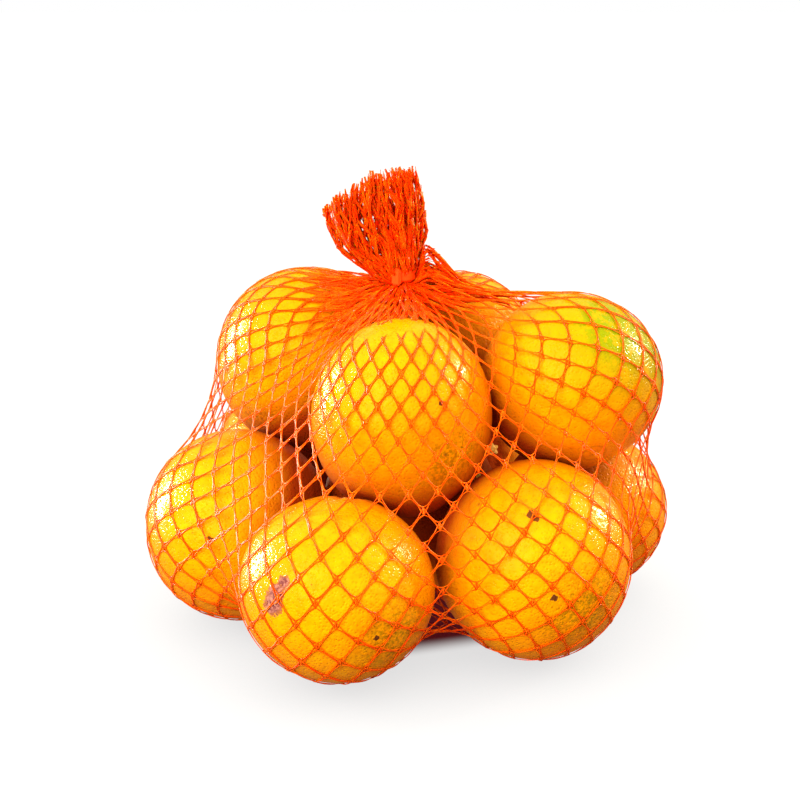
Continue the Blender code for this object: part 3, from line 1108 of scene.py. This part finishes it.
# Painted shade: under the heap the glow is painted the dark red of light bounced between the
# fruits.
painted_shade_under_heap = 1.0
for here, after in zip(OUTER_FRUITS, OUTER_FRUITS[1:] + OUTER_FRUITS[:1]):
    here, after = ((places[name][0] + TO_FRAME)[:2] * MM for name in (here, after))
    inward = Vector((here[1] - after[1], after[0] - here[0], 0)).normalized()
    depth = add_node(tree, "VectorMath", (place, inward), operation="DOT_PRODUCT")
    begins, full = (inward @ Vector((*here, 0)) + reach for reach in UNDER_EDGE)
    inside = add_node(tree, "MapRange", (depth, begins, full), interpolation_type="SMOOTHSTEP")
    painted_shade_under_heap = add_node(tree, "Math", (inside, painted_shade_under_heap), operation="MULTIPLY")
seen_colour = lay_over(tree, "#FFFFFF", "#4E0616", painted_shade_under_heap)
give_surface(floor_paint, {
    "Base Color": (0.02, 0.02, 0.02, 1),
    "Roughness": 0.9,
    "Emission Color": lay_over(tree, "#FFA860", seen_colour, seen),
    "Emission Strength": add_node(tree, "MapRange", (seen, 0, 1, GLOW_ON_FRUITS, glow_with_painted_shadow)),
})
ground = bmesh.new()
bmesh.ops.create_grid(ground, x_segments=8, y_segments=8, size=FLOOR_HALF_SIZE)
mesh = bpy.data.meshes.new("floor")
ground.to_mesh(mesh)
ground.free()
mesh.materials.append(floor_paint)
floor = bpy.data.objects.new("floor", mesh)
floor.location.z = -FLOOR_GAP
bpy.context.scene.collection.objects.link(floor)
print("floor:", 2 * FLOOR_HALF_SIZE, "m wide")

# %% Light
ROOM_STRENGTH = 1.32
world = bpy.data.worlds.new("white room")
bpy.context.scene.world = world
world.use_nodes = True
room = world.node_tree
seen = add_node(room, "LightPath", out="Is Camera Ray")
backdrop = room.nodes["Background"].inputs
room.links.new(lay_over(room, "#FFDC90", "#FFFFFF", seen), backdrop["Color"])
strength = add_node(room, "MapRange", (seen, 0, 1, ROOM_STRENGTH, 1))
room.links.new(strength, backdrop["Strength"])

HEAP_MIDDLE = Vector((0, 0, 0.07))
LIGHTS = {  # place, width and height in metres, watts, whether it is there for the gloss
    "key": ((-0.9, -1.15, 0.95), 1.5, 1.5, 54, False),
    "right fill": ((1.2, 0.3, 0.8), 0.8, 0.8, 17, False),
    "left strip": ((-1.05, 0.42, 0.2), 0.24, 0.6, 36, True),
    "right strip": ((1.0, 0.35, 0.5), 0.08, 0.3, 12, True),
}
for name, (place, width, height, watts, mirrored) in LIGHTS.items():
    lamp = bpy.data.lights.new(name, "AREA")
    lamp.shape = "RECTANGLE"
    lamp.size, lamp.size_y = width, height
    lamp.energy = watts
    light = bpy.data.objects.new(name, lamp)
    light.location = place
    light.rotation_euler = (HEAP_MIDDLE - light.location).to_track_quat("-Z", "Y").to_euler()
    light.visible_glossy = mirrored
    light.visible_diffuse = not mirrored
    bpy.context.scene.collection.objects.link(light)
bpy.context.scene.view_settings.view_transform = "Standard"

# No light of the right strip gets into the hollow in the middle of the heap, as if a black
# card stood in its way.
HOLLOW = ("orange_middle", "orange_back_right", "stem_buttons")
outer = bpy.data.collections.new("outer pieces")
for piece in bpy.context.scene.objects:
    if piece.type == "MESH" and piece.name not in HOLLOW:
        outer.objects.link(piece)
bpy.data.objects["right strip"].light_linking.receiver_collection = outer
print("lights:", len(LIGHTS))

# %% Camera
EYE = Vector((-0.0047, -0.6623, 0.2787))
AIM = Vector((-0.0047, 0.0675, 0.0701))
lens = bpy.data.cameras.new("camera")
lens.lens = 72.2
lens.sensor_width = 36
lens.clip_start = 0.01
camera = bpy.data.objects.new("camera", lens)
camera.location = EYE
camera.rotation_euler = (AIM - EYE).to_track_quat("-Z", "Y").to_euler()
bpy.context.scene.collection.objects.link(camera)
bpy.context.scene.camera = camera
print("camera to its aim:", round((AIM - EYE).length, 2), "m")

# %% Finish
bpy.context.view_layer.update()
